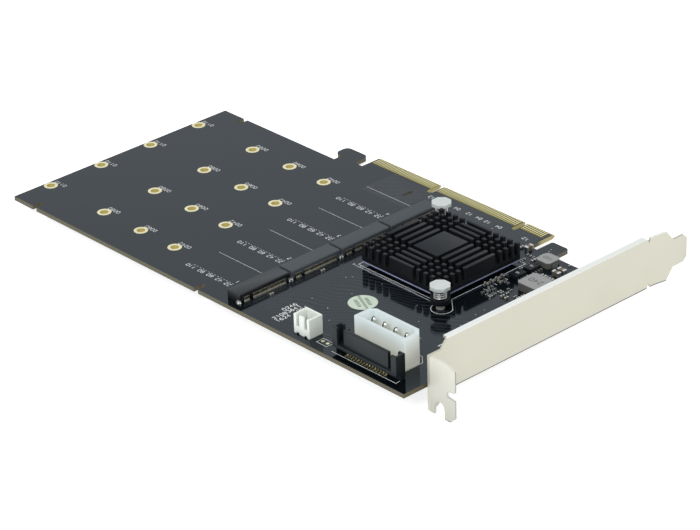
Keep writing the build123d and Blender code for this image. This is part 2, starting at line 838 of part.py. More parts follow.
save("large_inductor", coil(large_coil_x, large_coil_y, large_coil_side, large_coil_height))
save("small_inductor", coil(small_coil_x, small_coil_y, small_coil_side, small_coil_height))
terminals = coil_terminals(large_coil_x, large_coil_y, large_coil_side)
terminals += coil_terminals(small_coil_x, small_coil_y, small_coil_side)
save("inductor_terminals", terminals)
save("regulator_chips", [regulator(x, y) for x, y in regulator_spots])
save("regulator_leads", [lead for x, y in regulator_spots for lead in regulator_leads(x, y)])
save("ceramic_capacitors", [chip_part(*place) for place in capacitor_places()])
save("chip_resistors", [chip_part(*place) for place in row_places(resistor_rows, resistor_size)])
save("inspection_sticker", sticker())
save("spare_pads", spare_pads())
save("bracket", bracket())
save("bracket_screws", [bracket_screw(y) for y in bracket_ear_spots])
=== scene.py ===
"""Expansion card for four drive modules, dressed for its portrait.

Lengths in this file are millimetres in the part's own frame; make_mesh turns them into metres.
"""
import math

import bmesh
import bpy
import numpy as np
from mathutils import Matrix, Vector


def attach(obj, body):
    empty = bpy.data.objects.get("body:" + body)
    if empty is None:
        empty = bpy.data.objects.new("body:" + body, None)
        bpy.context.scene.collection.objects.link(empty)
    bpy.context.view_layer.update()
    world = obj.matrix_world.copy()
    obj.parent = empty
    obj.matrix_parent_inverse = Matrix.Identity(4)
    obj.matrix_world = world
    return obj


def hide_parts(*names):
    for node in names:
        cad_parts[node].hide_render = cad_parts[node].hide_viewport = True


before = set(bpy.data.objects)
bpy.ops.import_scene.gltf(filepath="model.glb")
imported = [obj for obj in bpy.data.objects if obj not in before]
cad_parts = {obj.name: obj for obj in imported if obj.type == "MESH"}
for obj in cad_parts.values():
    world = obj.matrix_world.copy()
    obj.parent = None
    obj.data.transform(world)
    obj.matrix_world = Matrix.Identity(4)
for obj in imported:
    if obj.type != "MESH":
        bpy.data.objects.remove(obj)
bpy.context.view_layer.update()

MM = 0.001
WELD = 2e-6  # metres
INK_HEIGHT = 0.03
PART_INK_HEIGHT = 0.02
FIRST_CONTACT_X = 1.78
DRIVE_ROWS = [-96.67 + 23.0 * row for row in range(4)]
DRIVE_LENGTHS = (42, 60, 80, 110)
DATUM_X = -31.3
BOARD_BOTTOM = -1.57
SINK_X, SINK_Y = 0.9, -42.5
BRACKET_TOP = 13.67
SINK_TOP = 8.0
SOCKET_TOP = 3.2
SHROUD_TOP = 11.2
STICKER_X, STICKER_Y = 1.4, -79.0
TAB_Y = -101.1
PUSH_PINS = {"front": (22.1, -63.7), "rear": (-20.3, -21.3)}
DISK_PIN_X, DISK_PIN_Y, DISK_PIN_PITCH = 24.58, -95.7, 5.08
# Rows of small parts: first x and y, columns, rows, both steps, length, and 1 where they lie along Y
PART_ROWS = (
    (24.0, -47.0, 7, 3, 0.95, 2.1, 1.5, 1),
    (23.4, -37.8, 3, 2, 2.0, 1.3, 1.5, 0),
    (31.4, -41.8, 6, 2, 1.6, 2.2, 1.5, 1),
    (21.9, -28.6, 1, 5, 1.0, 1.3, 1.5, 0),
    (21.4, -21.8, 3, 4, 1.45, 2.3, 1.9, 1),
    (31.8, -26.6, 5, 2, 2.2, 1.9, 1.7, 0),
    (37.6, -22.6, 3, 4, 1.4, 2.2, 1.4, 1),
    (41.6, -38.6, 2, 6, 1.6, 2.1, 1.5, 1),
    (22.2, -13.6, 8, 1, 1.5, 1.0, 1.2, 1),
    (40.9, -49.6, 3, 4, 1.4, 2.2, 1.5, 1),
)


# Camera and light


def make_camera(azimuth, elevation, roll, aim, distance, lens):
    """Camera on a sphere round aim, turned by roll about its own line of sight."""
    a, e, r = (math.radians(v) for v in (azimuth, elevation, roll))
    back = Vector((math.sin(a) * math.cos(e), -math.cos(a) * math.cos(e), math.sin(e)))
    level = Vector((math.cos(a), math.sin(a), 0))
    upright = back.cross(level)
    right = level * math.cos(r) + upright * math.sin(r)
    up = upright * math.cos(r) - level * math.sin(r)
    data = bpy.data.cameras.new("camera")
    data.lens = lens
    data.sensor_width = 36
    data.clip_start, data.clip_end = 0.05, 20
    camera = bpy.data.objects.new("camera", data)
    place = Matrix((right, up, back)).transposed().to_4x4()
    place.translation = (Vector(aim) + back * distance) * MM
    camera.matrix_world = place
    bpy.context.scene.collection.objects.link(camera)
    bpy.context.scene.camera = camera


def make_softbox(name, place, aim, size, power):
    """Square area lamp that faces aim; its place, aim and size are in metres."""
    data = bpy.data.lights.new(name, "AREA")
    data.shape = "RECTANGLE"
    data.size, data.size_y = size
    data.energy = power
    lamp = bpy.data.objects.new(name, data)
    lamp.location = place
    lamp.rotation_mode = "QUATERNION"
    lamp.rotation_quaternion = (Vector(aim) - Vector(place)).to_track_quat("-Z", "Y")
    bpy.context.scene.collection.objects.link(lamp)


def make_world(colour, strength):
    """Even pale surroundings, which the black board mirrors."""
    world = bpy.data.worlds.new("pale_studio")
    world.use_nodes = True
    shader = world.node_tree.nodes["Background"]
    shader.inputs["Color"].default_value = (*colour, 1)
    shader.inputs["Strength"].default_value = strength
    bpy.context.scene.world = world


# Shader maths


class Value:
    """A shader socket that takes part in Python arithmetic; each operator adds a Math node."""

    def __init__(self, net, socket):
        self.net = net
        self.socket = socket

    def maths(self, operation, *values):
        return self.net.node("ShaderNodeMath", {"operation": operation}, values)

    def __add__(self, other):
        return self.maths("ADD", self, other)

    def __sub__(self, other):
        return self.maths("SUBTRACT", self, other)

    def __rsub__(self, other):
        return self.maths("SUBTRACT", other, self)

    def __mul__(self, other):
        return self.maths("MULTIPLY", self, other)

    def __truediv__(self, other):
        return self.maths("DIVIDE", self, other)

    def __gt__(self, other):
        return self.maths("GREATER_THAN", self, other)

    def __lt__(self, other):
        return self.maths("LESS_THAN", self, other)

    def __abs__(self):
        return self.maths("ABSOLUTE", self)

    def fraction(self):
        return self.maths("FRACT", self)

    def clamped(self):
        return self.maths("MINIMUM", self.maths("MAXIMUM", self, 0), 1)

    def inside(self, low, high, soft=0.05):
        """1 between low and high, 0 outside, with an edge soft mm wide."""
        middle, half = (low + high) / 2, (high - low) / 2
        return ((half - abs(self - middle)) / soft + 0.5).clamped()


class Net:
    """Node tree of one material with a Principled shader at its end."""

    def __init__(self, name, **constants):
        self.material = bpy.data.materials.new(name)
        self.material.use_nodes = True
        self.tree = self.material.node_tree
        self.tree.nodes.clear()
        self.shader = self.tree.nodes.new("ShaderNodeBsdfPrincipled")
        output = self.tree.nodes.new("ShaderNodeOutputMaterial")
        self.tree.links.new(self.shader.outputs[0], output.inputs[0])
        for key, value in constants.items():
            self.shader.inputs[key.replace("_", " ")].default_value = value

    def node(self, kind, settings=None, inputs=(), output=0):
        """New node: its settings first, then its sockets by place or by name."""
        node = self.tree.nodes.new(kind)
        for key, value in (settings or {}).items():
            setattr(node, key, value)
        pairs = inputs.items() if isinstance(inputs, dict) else enumerate(inputs)
        for key, value in pairs:
            self.plug(node.inputs[key], value)
        return Value(self, node.outputs[output])

    def plug(self, socket, value):
        if isinstance(value, Value):
            self.tree.links.new(value.socket, socket)
        else:
            socket.default_value = value

    def feed(self, **values):
        """Link what varies over the surface into the shader."""
        for key, value in values.items():
            self.plug(self.shader.inputs[key.replace("_", " ")], value)
        return self.material

    def place(self):
        """Object coordinates in millimetres: the vector, then x, y and z."""
        spot = self.node("ShaderNodeTexCoord", output=3)
        scaled = self.node("ShaderNodeVectorMath", {"operation": "SCALE"}, {0: spot, "Scale": 1 / MM})
        axes = [self.node("ShaderNodeSeparateXYZ", inputs=[scaled], output=n) for n in range(3)]
        return scaled, *axes

    def noise(self, where, scale, detail, stretch=(1, 1, 1)):
        """Noise with scale features to the millimetre, drawn out by stretch."""
        where = self.node("ShaderNodeVectorMath", {"operation": "MULTIPLY"}, [where, stretch])
        return self.node("ShaderNodeTexNoise", inputs={"Vector": where, "Scale": scale, "Detail": detail})

    def blend(self, factor, low, high):
        """Colour that goes from low to high as factor goes from 0 to 1."""
        settings = {"data_type": "RGBA"}
        return self.node("ShaderNodeMix", settings, {0: factor, 6: wide(low), 7: wide(high)}, output=2)

    def bump(self, height, depth):
        """Normal from a height that runs from 0 to 1 over depth mm."""
        inputs = {"Height": height, "Distance": depth * MM, "Strength": 1.0}
        return self.node("ShaderNodeBump", inputs=inputs)


def wide(colour):
    """Colour with its alpha, or a link as it is."""
    return colour if isinstance(colour, Value) else (*colour[:3], 1.0)


def stripes(value, pitch, width, soft=0.06):
    """1 on lines width mm wide that repeat every pitch mm."""
    across = abs((value / pitch).fraction() - 0.5) * pitch
    return ((width / 2 - across) / soft + 0.5).clamped()


# Finishes


def board_lacquer():
    """Glossy black lacquer over copper tracks, with the bare laminate on every cut edge."""
    net = Net("board_lacquer", IOR=1.455, Specular_Tint=(0.52, 0.75, 1.0, 1))
    spot, x, y, z = net.place()
    edge = z.inside(BOARD_BOTTOM + 0.02, -0.02, 0.02)
    bare = y.inside(-5.3, 1, 0.15) * x.inside(-72.9, 12.8, 0.1)
    to_sink = x.inside(-26, -18, 0.4) * stripes(y, 0.92, 0.34) * y.inside(-106, -8, 0.4)
    to_edge = y.inside(-23, -5.6, 0.4) * stripes(x, 1.0, 0.4) * x.inside(-38.5, 12.4, 0.3)
    wander = net.noise(spot, 0.035, 1.0)
    slanting = stripes(y - x * 0.6 + wander * 16, 2.2, 0.8)
    slanting = slanting * y.inside(-104, -63, 0.5) * x.inside(-26, 47, 0.5)
    other_slant = stripes(x - y, 1.5, 0.4) * y.inside(-22, -6, 0.5) * x.inside(-60, -39, 0.5)
    tracks = (to_sink + to_edge + slanting * (1 - to_sink) + other_slant).clamped()
    cloud = net.noise(spot, 0.05, 3.0)
    grain = net.noise(spot, 2.2, 3.0)
    lacquer = net.blend(cloud, (0.001, 0.002, 0.003), (0.003, 0.004, 0.005))
    lacquer = net.blend(tracks * 0.7, lacquer, (0.018, 0.021, 0.025))
    weave = net.noise(spot, 1.4, 3.0, stretch=(1, 1, 6))
    laminate = net.blend(weave, (0.055, 0.043, 0.018), (0.115, 0.093, 0.045))
    tip = y.inside(-7.5, 1, 2.0) * x.inside(-74, 13.2, 0.1)
    laminate = net.blend(tip * 0.8, laminate, (0.42, 0.36, 0.14))
    under_contacts = net.blend(grain, (0.020, 0.017, 0.007), (0.05, 0.042, 0.016))
    colour = net.blend(edge, net.blend(bare, lacquer, under_contacts), laminate)
    roughness = edge * 0.4 + bare * 0.2 + grain * 0.03 + 0.07
    relief = net.bump(tracks * 0.7 + grain * 0.05, 0.022)
    return net.feed(Base_Color=colour, Roughness=roughness, Normal=relief)


def gold_plate():
    """Pale gold plate; inside a screw hole it is painted duller and darker, as painted shade in the hole."""
    net = Net("gold_plate")
    spot, _, _, z = net.place()
    rub = net.noise(spot, 3.0, 3.0, stretch=(4, 0.25, 1))
    # Painted shade: inside each hole the plate is painted darker and less metallic than its ring.
    bore = z.inside(BOARD_BOTTOM, -0.03, 0.02)
    colour = net.blend(bore, net.blend(rub, (0.86, 0.80, 0.50), (0.95, 0.91, 0.66)), (0.44, 0.36, 0.11))
    metallic, roughness = 0.9 - bore * 0.75, rub * 0.2 + 0.24
    return net.feed(Base_Color=colour, Metallic=metallic, Roughness=roughness, Normal=net.bump(rub, 0.01))


def edge_gold():
    """Gold contact fingers, paler and brighter where the slot's springs have wiped them, with painted shade
    along each finger's edges.
    """
    net = Net("edge_gold", Metallic=0.85)
    spot, x, y, _ = net.place()
    rub = net.noise(spot, 3.0, 3.0, stretch=(5, 0.2, 1))
    wiped = y.inside(-3.8, -1.3, 0.9)
    # Painted shade: a dark band along both edges of each finger.
    from_middle = abs((abs(x) - FIRST_CONTACT_X + 0.5).fraction() - 0.5)
    painted_finger_edge_shade = ((from_middle - 0.2) / 0.04).clamped()
    colour = net.blend(wiped, (0.82, 0.74, 0.26), (0.97, 0.90, 0.48))
    colour = net.blend(painted_finger_edge_shade, colour, (0.05, 0.04, 0.012))
    return net.feed(Base_Color=colour, Roughness=rub * 0.2 + 0.26, Normal=net.bump(rub, 0.008))


def moulded(name, dark, light, roughness, **constants):
    """Moulded plastic: two close shades in a slow cloud and a fine spark-eroded grain."""
    net = Net(name, **constants)
    spot, *_ = net.place()
    cloud = net.noise(spot, 0.18, 2.0)
    grain = net.noise(spot, 6.0, 2.0)
    colour = net.blend(cloud * 0.7 + grain * 0.3, dark, light)
    relief = net.bump(grain, 0.02)
    return net.feed(Base_Color=colour, Roughness=grain * 0.14 + roughness, Normal=relief)


def shroud_nylon():
    """Milky nylon of the deep header with painted light: lighter and cooler towards the top, a painted glow
    that is warm near the board, a brightly painted inside and darker painted end walls inside.
    """
    # The nylon is given a painted glow, though it is no lamp.
    net = Net("shroud_nylon", IOR=1.5, Emission_Strength=0.3)
    spot, x, y, z = net.place()
    # Painted light: the colour is painted lighter and cooler towards the top.
    rise = (z / SHROUD_TOP).clamped()
    grain = net.noise(spot, 5.0, 2.0)
    body = net.blend(rise, (0.50, 0.49, 0.40), (0.60, 0.67, 0.68))
    # Painted shade on the top face, to dim it.
    body = net.blend(z > SHROUD_TOP - 0.15, body, (0.47, 0.52, 0.53))
    # Painted light: the inside is painted bright with a bright painted glow, the glow is warm near the board
    # to make up for the shade there, and the +X side glows more.
    hollow = x.inside(21.8, 42.6, 0.2) * y.inside(-99.3, -93.6, 0.2) * (z > 2.0)
    colour = net.blend(hollow * 0.8, body, (0.74, 0.82, 0.84))
    glow = net.blend(hollow, net.blend(rise, (0.66, 0.63, 0.50), (0.16, 0.19, 0.20)), (0.80, 0.90, 0.92))
    glow = net.blend((x > 43.7) * 0.9, glow, (0.68, 0.68, 0.61))
    # Painted shade on the two end walls inside.
    painted_end_wall_shade = (x.inside(20.9, 24.2, 0.2) + x.inside(41.2, 43.4, 0.2)) * hollow
    colour = net.blend(painted_end_wall_shade * 0.8, colour, (0.36, 0.41, 0.42))
    glow = net.blend(painted_end_wall_shade * 0.8, glow, (0.30, 0.35, 0.36))
    finish = {"Roughness": grain * 0.12 + 0.36, "Normal": net.bump(grain, 0.01)}
    return net.feed(Base_Color=colour, Emission_Color=glow, **finish)


def pin_nylon():
    """White nylon of the push pins, in shade on the shank inside the spring."""
    net = Net("pin_nylon", IOR=1.5)
    spot, _, _, z = net.place()
    cloud = net.noise(spot, 0.6, 2.0)
    shaded = z.inside(-0.5, 7.2, 0.1)
    shank = net.blend(z.inside(-0.5, 2.8, 0.3), (0.05, 0.05, 0.05), (0.34, 0.34, 0.32))
    colour = net.blend(shaded, net.blend(cloud, (0.42, 0.46, 0.455), (0.52, 0.56, 0.55)), shank)
    return net.feed(Base_Color=colour, Roughness=cloud * 0.1 + 0.30)


def split_pin():
    """Bright tin with a painted dark slot down each round contact's nose: painted shade where the split is
    not modelled.
    """
    net = Net("split_pin")
    spot, x, _, z = net.place()
    from_middle = abs(((x - DISK_PIN_X) / DISK_PIN_PITCH + 0.5).fraction() - 0.5) * DISK_PIN_PITCH
    # Painted shade: the split in each nose is a dark stripe in the colour.
    slot = (from_middle < 0.3) * (z > 6.5)
    patch = net.noise(spot, 1.8, 3.0)
    colour = net.blend(slot, net.blend(patch, (0.55, 0.55, 0.50), (0.80, 0.80, 0.74)), (0.02, 0.02, 0.02))
    return net.feed(Base_Color=colour, Metallic=0.9 - slot * 0.9, Roughness=patch * 0.2 + 0.22)


def contact_brass():
    """Row of thin plated spring contacts, dull gold and dark, with painted highlights: bright bands at their
    feet and tops, and painted glints.
    """
    net = Net("contact_brass", Metallic=0.9)
    spot, _, _, z = net.place()
    patch = net.noise(spot, 2.5, 3.0)
    # Painted highlights: bright bands at the feet and near the tops of the contacts, and bright glints where
    # the noise is high.
    ends = z.inside(-1, 0.6, 0.15) + z.inside(1.5, 2, 0.1)
    painted_glints = ((patch - 0.45) * 5).clamped()
    colour = net.blend((ends * 0.8 + painted_glints * 0.5).clamped(), (0.07, 0.06, 0.035), (0.90, 0.85, 0.68))
    return net.feed(Base_Color=colour, Roughness=patch * 0.2 + 0.28)


def foot_gold():
    """Feet of the serial power contacts: pale gold with darker patches."""
    net = Net("foot_gold", Metallic=0.8)
    spot, *_ = net.place()
    patch = net.noise(spot, 1.6, 3.0)
    colour = net.blend(((patch - 0.4) * 4).clamped(), (0.26, 0.22, 0.11), (0.86, 0.80, 0.52))
    return net.feed(Base_Color=colour, Roughness=patch * 0.2 + 0.24)


def socket_plastic():
    """Black socket body whose flat top is polished by the mould and painted a little lighter and bluer, a
    painted reflection.
    """
    net = Net("socket_plastic", IOR=1.5, Specular_Tint=(0.82, 0.92, 1.0, 1))
    spot, _, _, z = net.place()
    top = z > SOCKET_TOP - 0.1
    grain = net.noise(spot, 5.0, 2.0)
    # Painted reflection: the top is painted lighter and bluer than the sides; its lower roughness is the
    # real polish.
    colour = net.blend(top, (0.004, 0.004, 0.004), (0.010, 0.012, 0.014))
    roughness = grain * 0.1 + 0.34 - top * 0.18
    return net.feed(Base_Color=colour, Roughness=roughness, Normal=net.bump(grain, 0.01))


def black_anodised():
    """Black anodised aluminium: satin, a little greyer on the milled tops."""
    net = Net("black_anodised", IOR=1.32, Specular_Tint=(0.76, 0.87, 1.0, 1))
    spot, _, _, z = net.place()
    tops = z > SINK_TOP - 0.1
    grain = net.noise(spot, 4.0, 3.0)
    milled = net.noise(spot, 1.5, 2.0, stretch=(0.15, 3, 1))
    sides = net.blend(grain, (0.003, 0.003, 0.004), (0.006, 0.006, 0.007))
    colour = net.blend(tops, sides, net.blend(milled, (0.004, 0.005, 0.007), (0.009, 0.010, 0.013)))
    roughness = grain * 0.12 + 0.42
    return net.feed(Base_Color=colour, Roughness=roughness, Normal=net.bump(grain, 0.02))


def tinned():
    """Tin plate and solder: bright, uneven, dull in patches."""
    net = Net("tinned", Metallic=1.0)
    spot, *_ = net.place()
    patch = net.noise(spot, 1.8, 3.0)
    colour = net.blend(patch, (0.55, 0.55, 0.54), (0.86, 0.86, 0.84))
    return net.feed(Base_Color=colour, Roughness=patch * 0.3 + 0.16, Normal=net.bump(patch, 0.05))


def spring_wire():
    """Drawn steel wire."""
    net = Net("spring_wire", Metallic=1.0)
    spot, *_ = net.place()
    drawn = net.noise(spot, 5.0, 2.0)
    colour = net.blend(drawn, (0.50, 0.50, 0.50), (0.72, 0.72, 0.71))
    return net.feed(Base_Color=colour, Roughness=drawn * 0.2 + 0.22)


def bracket_plate():
    """Satin nickel on rolled steel, warm grey, with the rolling marks along the sheet; painted light on it:
    the tab painted lighter towards its top and darker towards its foot, painted shade along the lower edges,
    and a painted highlight on the top fold.
    """
    net = Net("bracket_plate", IOR=1.6)
    spot, x, y, z = net.place()
    rolled = net.noise(spot, 3.0, 4.0, stretch=(1, 0.06, 1.6))
    cloud = net.noise(spot, 0.03, 2.0)
    colour = net.blend(cloud * 0.6 + rolled * 0.4, (0.465, 0.455, 0.375), (0.54, 0.53, 0.445))
    # Painted light and shade: the tab is painted lighter towards its top and darker towards its foot.
    rise = ((z + 9.3) / 22).clamped()
    tab = (y < TAB_Y) * (x > 56.5)
    colour = net.blend(tab * 0.7, colour, net.blend(rise, (0.33, 0.33, 0.295), (0.63, 0.625, 0.565)))
    # Painted shade: a dark line along the plate's lower edge and the tab's lower and outer edges, standing
    # in for the darker floor seen in the eased edge.
    tab_painted_edge_line = ((z < -8.98) + (x > 66.9) * (y > -101.45)).clamped()
    painted_edge_line = z.inside(-4.9, -4.38, 0.04) * (y > TAB_Y) * (x > 54.7) + tab_painted_edge_line * tab
    colour = net.blend(painted_edge_line.clamped(), colour, (0.09, 0.095, 0.10))
    # Painted highlight along the top fold of the flange.
    colour = net.blend(z > BRACKET_TOP - 0.06, colour, (0.80, 0.82, 0.80))
    roughness = rolled * 0.14 + 0.36
    finish = {"Metallic": 0.55 - tab * 0.4, "Roughness": roughness, "Normal": net.bump(rolled, 0.006)}
    return net.feed(Base_Color=colour, **finish)


def inductor_grey():
    """Pressed iron powder: grey top with pits, darker sides."""
    net = Net("inductor_grey", IOR=1.5)
    spot, _, y, z = net.place()
    pits = net.noise(spot, 3.5, 4.0)
    big = ((z - 2.88) / 0.06).clamped()
    small = ((z - 2.18) / 0.06).clamped() * (y > -22)
    top = (big + small).clamped()
    face = net.blend(pits, (0.17, 0.175, 0.175), (0.32, 0.325, 0.32))
    side = net.blend(pits, (0.035, 0.035, 0.032), (0.12, 0.12, 0.11))
    colour = net.blend(top, side, face)
    return net.feed(Base_Color=colour, Roughness=pits * 0.25 + 0.40, Normal=net.bump(pits, 0.08))


def thermal_blue():
    """Soft silicone pad, blue-violet, with a faint cloth in it."""
    net = Net("thermal_blue", IOR=1.4)
    _, x, y, _ = net.place()
    cloth = stripes(x + y, 0.6, 0.3, 0.2) * 0.5 + stripes(x - y, 0.6, 0.3, 0.2) * 0.5
    colour = net.blend(cloth, (0.27, 0.29, 0.48), (0.38, 0.41, 0.60))
    return net.feed(Base_Color=colour, Roughness=cloth * 0.1 + 0.45, Normal=net.bump(cloth, 0.03))


def label_paper():
    """Pale green gloss paper with a slanting rule across it and two plain bars."""
    net = Net("label_paper", IOR=1.45)
    spot, x, y, _ = net.place()
    from_x, from_y = x - STICKER_X, y - STICKER_Y
    across = from_x * 0.42 + from_y * 0.91
    along = from_x * 0.91 - from_y * 0.42
    rule = across.inside(-0.35, -0.1, 0.06) + across.inside(0.15, 0.4, 0.06)
    both_sides = across.inside(1.2, 2.5) + across.inside(-2.5, -1.2)
    bars = along.inside(-2.6, 2.6, 0.1) * stripes(along, 0.9, 0.45) * both_sides
    fibre = net.noise(spot, 2.0, 3.0)
    paper = net.blend(fibre, (0.42, 0.50, 0.40), (0.50, 0.58, 0.48))
    colour = net.blend((rule + bars).clamped(), paper, (0.05, 0.09, 0.06))
    return net.feed(Base_Color=colour, Roughness=fibre * 0.1 + 0.35)


def white_print():
    """Screen-printed white ink, thinner in places."""
    net = Net("white_print", IOR=1.45)
    spot, *_ = net.place()
    thin = net.noise(spot, 2.5, 3.0)
    colour = net.blend(thin, (0.52, 0.54, 0.54), (0.78, 0.79, 0.78))
    return net.feed(Base_Color=colour, Roughness=thin * 0.2 + 0.4)


# Making pieces


def make_mesh(name, points, faces, finish, slot, replaced=(), angle=35):
    """Object at the origin from points in mm, riding on the card."""
    mesh = bpy.data.meshes.new(name)
    mesh.from_pydata((np.asarray(points, float) * MM).tolist(), [], [list(map(int, face)) for face in faces])
    mesh.validate()
    finish_piece(name, mesh, finish, replaced, angle)


def finish_piece(name, mesh, finish, replaced=(), angle=35):
    """Material, smooth shading up to an angle, and the piece's place on the card."""
    mesh.materials.clear()
    mesh.materials.append(finish)
    mesh.shade_smooth()
    mesh.set_sharp_from_angle(angle=math.radians(angle))
    piece = bpy.data.objects.new(name, mesh)
    bpy.context.scene.collection.objects.link(piece)
    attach(piece, "root")
    if replaced:
        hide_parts(*replaced)
    return piece


def eased_copy(node, width, finish):
    """The node's own faces, merged and with every edge over 30 degrees rounded by a Bevel of width mm."""
    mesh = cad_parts[node].data.copy()
    shell = bmesh.new()
    shell.from_mesh(mesh)
    bmesh.ops.remove_doubles(shell, verts=shell.verts, dist=WELD)
    bmesh.ops.dissolve_limit(shell, angle_limit=math.radians(0.5), verts=shell.verts, edges=shell.edges)
    shell.to_mesh(mesh)
    shell.free()
    piece = finish_piece(node + "_eased", mesh, finish, [node], angle=60)
    bevel = piece.modifiers.new("eased_edges", "BEVEL")
    bevel.width = width * MM
    bevel.segments = 2
    bevel.limit_method = "ANGLE"
    bevel.angle_limit = math.radians(30)
    bevel.harden_normals = True


def dress(finish, *nodes):
    """Give CAD nodes a finish."""
    for node in nodes:
        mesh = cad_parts[node].data
        mesh.materials.clear()
        mesh.materials.append(finish)


def ring_faces(rings, sides):
    """Quads between the closed rings of a stack, sides points to a ring, and a flat cap on both ends."""
    ring = np.arange(rings - 1)[:, None] * sides
    here = np.arange(sides)[None, :]
    beside = (here + 1) % sides
    quads = [ring + here, ring + beside, ring + sides + beside, ring + sides + here]
    walls = np.stack(np.broadcast_arrays(*quads), axis=-1).reshape(-1, 4).tolist()
    last = (rings - 1) * sides
    return walls + [list(range(sides - 1, -1, -1)), list(range(last, last + sides))]


def joined(parts):
    """Points and faces of several parts as one mesh."""
    points, faces, count = [], [], 0
    for some, their in parts:
        points.append(np.asarray(some, float))
        faces += [[int(i) + count for i in face] for face in their]
        count += len(some)
    return np.concatenate(points), faces


def tube(path, radius, sides):
    """Round section carried along a path: centre + radius * (cos t * side + sin t * up)."""
    path = np.asarray(path, float)
    ahead = np.gradient(path, axis=0)
    ahead /= np.linalg.norm(ahead, axis=1)[:, None]
    side = np.cross(ahead, [0.0, 0.0, 1.0])
    side /= np.linalg.norm(side, axis=1)[:, None]
    up = np.cross(side, ahead)
    t = np.linspace(0, 2 * np.pi, sides, endpoint=False)
    ring = side[:, None] * np.cos(t)[None, :, None] + up[:, None] * np.sin(t)[None, :, None]
    points = (path[:, None] + radius * ring).reshape(-1, 3)
    return points, [face[::-1] for face in ring_faces(len(path), sides)]


def ribbon(path, width, closed=False):
    """Flat stroke of ink: each point of the path pushed half the width both ways along its mitre."""
    path = np.asarray(path, float)
    following = np.roll(path, -1, axis=0) - path
    leading = path - np.roll(path, 1, axis=0)
    if not closed:
        following[-1], leading[0] = leading[-1], following[0]
    unit = [v / np.linalg.norm(v, axis=1)[:, None] for v in (following, leading)]
    tangent = unit[0] + unit[1]
    tangent /= np.linalg.norm(tangent, axis=1)[:, None]
    normal = np.stack([-tangent[:, 1], tangent[:, 0]], axis=1)
    reach = np.clip(np.sum(tangent * unit[0], axis=1), 0.5, 1.0)
    offset = normal * (width / 2 / reach)[:, None]
    both = np.stack([path - offset, path + offset], axis=1).reshape(-1, 2)
    points = np.column_stack([both, np.full(len(both), INK_HEIGHT)])
    near = 2 * np.arange(len(path) if closed else len(path) - 1)
    far = (near + 2) % len(both)
    faces = np.stack([near, far, far + 1, near + 1], axis=1)
    return points, faces


def turned(profile, centre, sides):
    """Profile of (radius, z) pairs turned about an upright axis: x + r cos t, y + r sin t."""
    profile = np.asarray(profile, float)
    t = np.linspace(0, 2 * np.pi, sides, endpoint=False)
    r, z = profile[:, 0][:, None], profile[:, 1][:, None]
    points = np.stack([centre[0] + r * np.cos(t), centre[1] + r * np.sin(t), z + 0 * t], axis=-1)
    return points.reshape(-1, 3), ring_faces(len(profile), sides)


def rounded_box(low, high, ease):
    """Box with upright corners of radius ease, whose outline draws in by ease towards the top."""
    (x0, y0, z0), (x1, y1, z1) = low, high
    left, right, near, far = x0 + ease, x1 - ease, y0 + ease, y1 - ease
    outline = []
    for x, y, turn in ((right, near, -90), (right, far, 0), (left, far, 90), (left, near, 180)):
        for step in (0, 45, 90):
            a = math.radians(turn + step)
            outline.append((x + ease * math.cos(a), y + ease * math.sin(a)))
    outline = np.array(outline)
    middle = np.array([(x0 + x1) / 2, (y0 + y1) / 2])
    inner = outline + np.clip(middle - outline, -ease, ease)
    halfway = outline * 0.3 + inner * 0.7
    layers = [(outline, z0), (outline, z1 - ease), (halfway, z1 - ease * 0.3), (inner, z1)]
    points = np.concatenate([np.column_stack([xy, np.full(len(xy), z)]) for xy, z in layers])
    return points, ring_faces(len(layers), len(outline))


# Pieces with a shape of their own


def make_springs(finish):
    """Wire coil round each push pin: x + r cos a, y + r sin a, with z rising as a does, its ends flat."""
    wire, radius, low, high = 0.27, 1.98, 3.7, 7.3
    turns, flat_end, steps = 5.0, 0.12, 150
    u = np.linspace(0, 1, steps)
    rise = np.clip((u - flat_end) / (1 - 2 * flat_end), 0, 1)
    angle = 2 * np.pi * turns * u
    z = low + wire + (high - low - 2 * wire) * rise
    for place, (x, y) in PUSH_PINS.items():
        path = np.column_stack([x + radius * np.cos(angle), y + radius * np.sin(angle), z])
        points, faces = tube(path, wire, 8)
        make_mesh(f"spring_coil_{place}", points, faces, finish, "spring_steel", [f"pin_spring_{place}"], 60)


def make_bay_marks():
    """Strokes printed for each drive bay: a ruled line, the bay's number and the drive lengths."""
    marks = []
    for row, y in enumerate(DRIVE_ROWS):
        marks.append(ribbon([(-59.7, y + 8.2), (-37.1, y + 8.2)], 0.13))
        marks += figures(str(row + 1), (-38.6, y - 0.8), 1.3, 180, 0.2)
        marks += figures("22 42 60 80 110", (-38.9, y - 4.3), 1.45, 180, 0.2)
        for n in range(14):
            x = -59.0 + 1.5 * n
            marks.append(ribbon([(x, y - 3.6), (x + 0.8, y - 3.6)], 0.13))
        for length in DRIVE_LENGTHS:
            marks += figures(f"{length:04d}", (DATUM_X - length + 4.3, y + 3.95), 1.45, 180, 0.18)
    return marks


